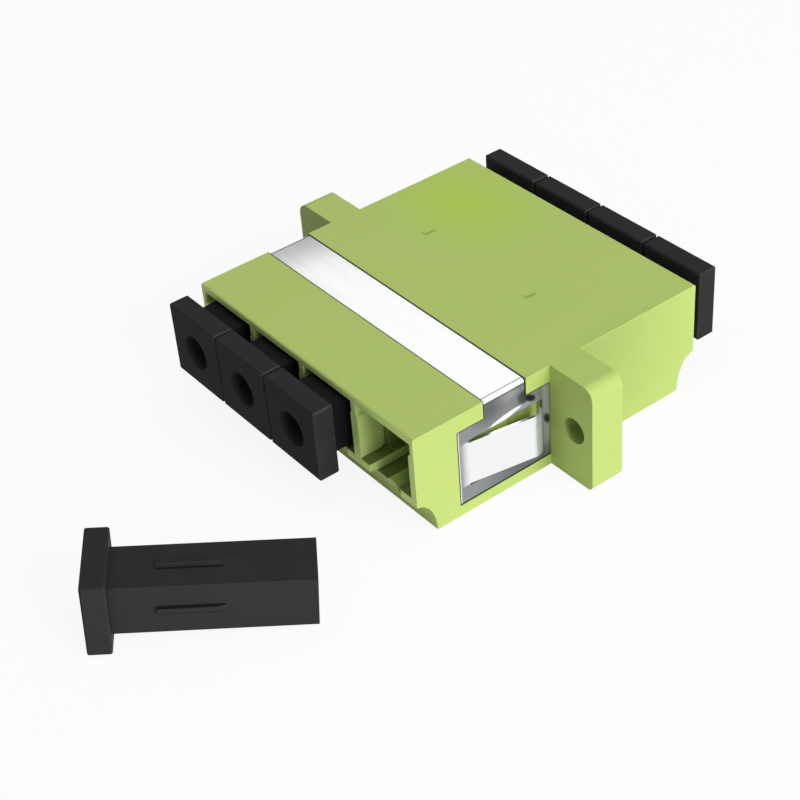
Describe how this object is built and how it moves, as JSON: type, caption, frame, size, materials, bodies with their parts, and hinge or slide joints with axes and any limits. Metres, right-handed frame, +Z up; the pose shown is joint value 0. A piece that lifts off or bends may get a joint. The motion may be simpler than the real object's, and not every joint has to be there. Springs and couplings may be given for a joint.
{
  "type": "four-way fibre adapter",
  "caption": "Flanged fibre adapter with latching ports on both faces, a folded spring clip and push-in dust caps, one cap taken off beside it.",
  "frame": {"origin": "centre of the two flange holes, on the flange's front face", "axes": "+X across the four ports, -Y out of the front ports and away from the panel, +Z up through the face that carries the clip's band"},
  "size_m": [0.0348, 0.0532, 0.0091],
  "materials": {
    "housing_plastic": "fine moulded satin",
    "clip_steel": "bright rolled strip",
    "holder_plastic": "satin",
    "sleeve_ceramic": "polished ceramic",
    "cap_plastic": "matt"
  },
  "bodies": {
    "adapter": {"housing": "housing_plastic", "spring_clip": "clip_steel", "sleeve_holder_front_1": "holder_plastic", "sleeve_holder_rear_1": "holder_plastic", "split_sleeve_1": "sleeve_ceramic", "sleeve_holder_front_2": "holder_plastic", "sleeve_holder_rear_2": "holder_plastic", "split_sleeve_2": "sleeve_ceramic", "sleeve_holder_front_3": "holder_plastic", "sleeve_holder_rear_3": "holder_plastic", "split_sleeve_3": "sleeve_ceramic", "sleeve_holder_front_4": "holder_plastic", "sleeve_holder_rear_4": "holder_plastic", "split_sleeve_4": "sleeve_ceramic", "dust_cap_front_4": "cap_plastic"},
    "cap_front_1": {"dust_cap_front_1": "cap_plastic"},
    "cap_front_2": {"dust_cap_front_2": "cap_plastic"},
    "cap_front_3": {"dust_cap_front_3": "cap_plastic"},
    "cap_rear_1": {"dust_cap_rear_1": "cap_plastic"},
    "cap_rear_2": {"dust_cap_rear_2": "cap_plastic"},
    "cap_rear_3": {"dust_cap_rear_3": "cap_plastic"},
    "cap_rear_4": {"dust_cap_rear_4": "cap_plastic"}
  },
  "joints": [
    {"name": "cap_front_1_pull", "type": "slide", "parent": "adapter", "child": "cap_front_1", "axis": [0, -1, 0], "range_m": [0, 0.012]},
    {"name": "cap_front_2_pull", "type": "slide", "parent": "adapter", "child": "cap_front_2", "axis": [0, -1, 0], "range_m": [0, 0.012]},
    {"name": "cap_front_3_pull", "type": "slide", "parent": "adapter", "child": "cap_front_3", "axis": [0, -1, 0], "range_m": [0, 0.012]},
    {"name": "cap_rear_1_pull", "type": "slide", "parent": "adapter", "child": "cap_rear_1", "axis": [0, 1, 0], "range_m": [0, 0.012]},
    {"name": "cap_rear_2_pull", "type": "slide", "parent": "adapter", "child": "cap_rear_2", "axis": [0, 1, 0], "range_m": [0, 0.012]},
    {"name": "cap_rear_3_pull", "type": "slide", "parent": "adapter", "child": "cap_rear_3", "axis": [0, 1, 0], "range_m": [0, 0.012]},
    {"name": "cap_rear_4_pull", "type": "slide", "parent": "adapter", "child": "cap_rear_4", "axis": [0, 1, 0], "range_m": [0, 0.012]}
  ]
}
